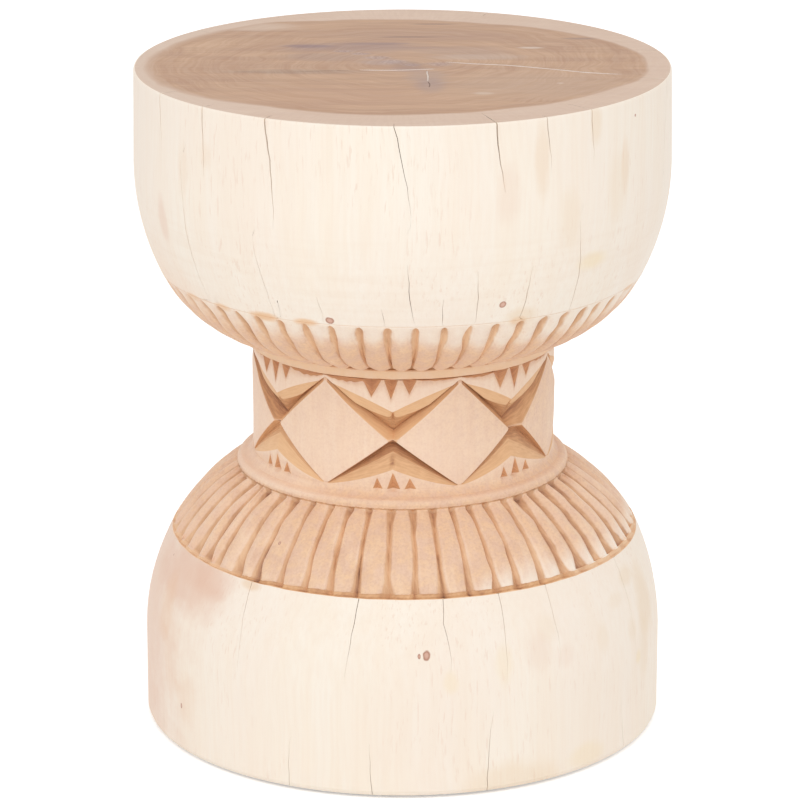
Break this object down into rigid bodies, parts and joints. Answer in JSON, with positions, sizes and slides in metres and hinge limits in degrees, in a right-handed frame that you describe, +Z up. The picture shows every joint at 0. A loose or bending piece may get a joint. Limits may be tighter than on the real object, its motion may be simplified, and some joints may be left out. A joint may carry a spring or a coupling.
{
  "type": "carved side table",
  "caption": "Round drum side table carved from one log: a bowl-shaped top and a domed foot with fluted shoulders, joined by a waist of chip-carved diamonds.",
  "frame": {"origin": "on the floor under the middle of the table", "axes": "+Z up along the log's grain, -Y towards the front, +X to the right as seen from the front"},
  "size_m": [0.3569, 0.357, 0.45],
  "materials": {
    "carved_wood": "bleached, waxed, matte",
    "check_filler": "sanded wood filler",
    "glide_plastic": "moulded",
    "glide_felt": "pressed felt",
    "nail_steel": "plain"
  },
  "bodies": {
    "root": {"carved_log": "carved_wood", "long_check_filler": "check_filler", "short_check_filler": "check_filler", "branch_check_filler": "check_filler", "glide_cup_1": "glide_plastic", "glide_cup_2": "glide_plastic", "glide_cup_3": "glide_plastic", "glide_cup_4": "glide_plastic", "glide_felt_1": "glide_felt", "glide_felt_2": "glide_felt", "glide_felt_3": "glide_felt", "glide_felt_4": "glide_felt", "glide_nails": "nail_steel"}
  },
  "joints": []
}
